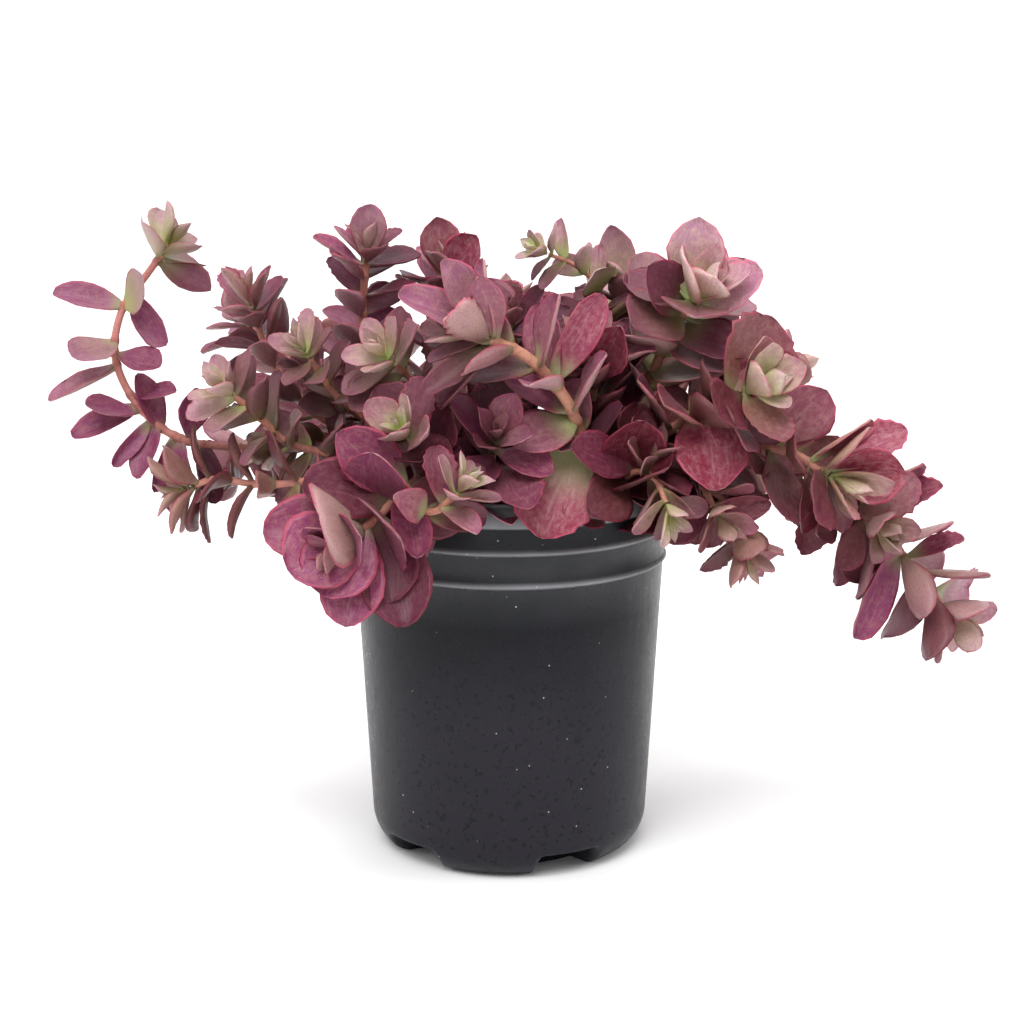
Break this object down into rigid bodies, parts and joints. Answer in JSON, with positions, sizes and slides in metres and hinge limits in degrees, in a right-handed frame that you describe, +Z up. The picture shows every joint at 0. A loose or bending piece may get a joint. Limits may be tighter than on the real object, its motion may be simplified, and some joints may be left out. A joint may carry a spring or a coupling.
{
  "type": "potted trailing sedum",
  "caption": "Trailing sedum with leafy stems and rosettes that spread over the rim of a round black nursery pot with a thick lip, beads and feet.",
  "frame": {"origin": "on the pot's axis, on the surface that the pot stands on", "axes": "+Z up along the pot's axis, -Y towards the front, +X to the right seen from the front"},
  "size_m": [0.4234, 0.3054, 0.3049],
  "materials": {
    "pot_plastic": "matte black moulded polyethylene, a little scuffed",
    "potting_mix": "dark moist bark and peat mix",
    "stem_and_leaf": "waxy succulent stem and leaf, satin",
    "rosette_leaf": "waxy succulent leaf, satin"
  },
  "bodies": {
    "root": {"pot": "pot_plastic", "potting_mix": "potting_mix", "rosette_arch": "rosette_leaf", "rosette_back_left": "rosette_leaf", "rosette_back_left_long": "rosette_leaf", "rosette_back_low": "rosette_leaf", "rosette_back_right": "rosette_leaf", "rosette_back_right_long": "rosette_leaf", "rosette_back_tall": "rosette_leaf", "rosette_far_left": "rosette_leaf", "rosette_front_bud": "rosette_leaf", "rosette_front_middle": "rosette_leaf", "rosette_green_heart": "rosette_leaf", "rosette_hanging_left": "rosette_leaf", "rosette_inner_right": "rosette_leaf", "rosette_left_back": "rosette_leaf", "rosette_left_bud": "rosette_leaf", "rosette_left_front": "rosette_leaf", "rosette_left_low": "rosette_leaf", "rosette_left_upright": "rosette_leaf", "rosette_right_back": "rosette_leaf", "rosette_right_end": "rosette_leaf", "rosette_right_low": "rosette_leaf", "rosette_right_of_arch": "rosette_leaf", "rosette_right_trailing": "rosette_leaf", "rosette_rim_dark": "rosette_leaf", "rosette_rim_hanging": "rosette_leaf", "rosette_rim_small": "rosette_leaf", "rosette_small_heart": "rosette_leaf", "rosette_tall_left": "rosette_leaf", "rosette_tall_middle": "rosette_leaf", "rosette_thin_pale": "rosette_leaf", "rosette_upper_back": "rosette_leaf", "rosette_upper_middle": "rosette_leaf", "rosette_upper_right": "rosette_leaf", "rosette_upper_right_small": "rosette_leaf", "rosette_yellow_heart": "rosette_leaf", "stem_arch": "stem_and_leaf", "stem_back_left_long": "stem_and_leaf", "stem_back_low": "stem_and_leaf", "stem_back_right_long": "stem_and_leaf", "stem_back_tall": "stem_and_leaf", "stem_far_left": "stem_and_leaf", "stem_front_bud": "stem_and_leaf", "stem_green_heart": "stem_and_leaf", "stem_hanging_left": "stem_and_leaf", "stem_inner_right": "stem_and_leaf", "stem_left_back": "stem_and_leaf", "stem_left_front": "stem_and_leaf", "stem_right_back": "stem_and_leaf", "stem_right_of_arch": "stem_and_leaf", "stem_right_trailing": "stem_and_leaf", "stem_rim_dark": "stem_and_leaf", "stem_tall_left": "stem_and_leaf", "stem_tall_middle": "stem_and_leaf", "stem_upper_middle": "stem_and_leaf", "stem_upper_right": "stem_and_leaf", "stem_upper_right_small": "stem_and_leaf", "stem_yellow_heart": "stem_and_leaf"}
  },
  "joints": []
}
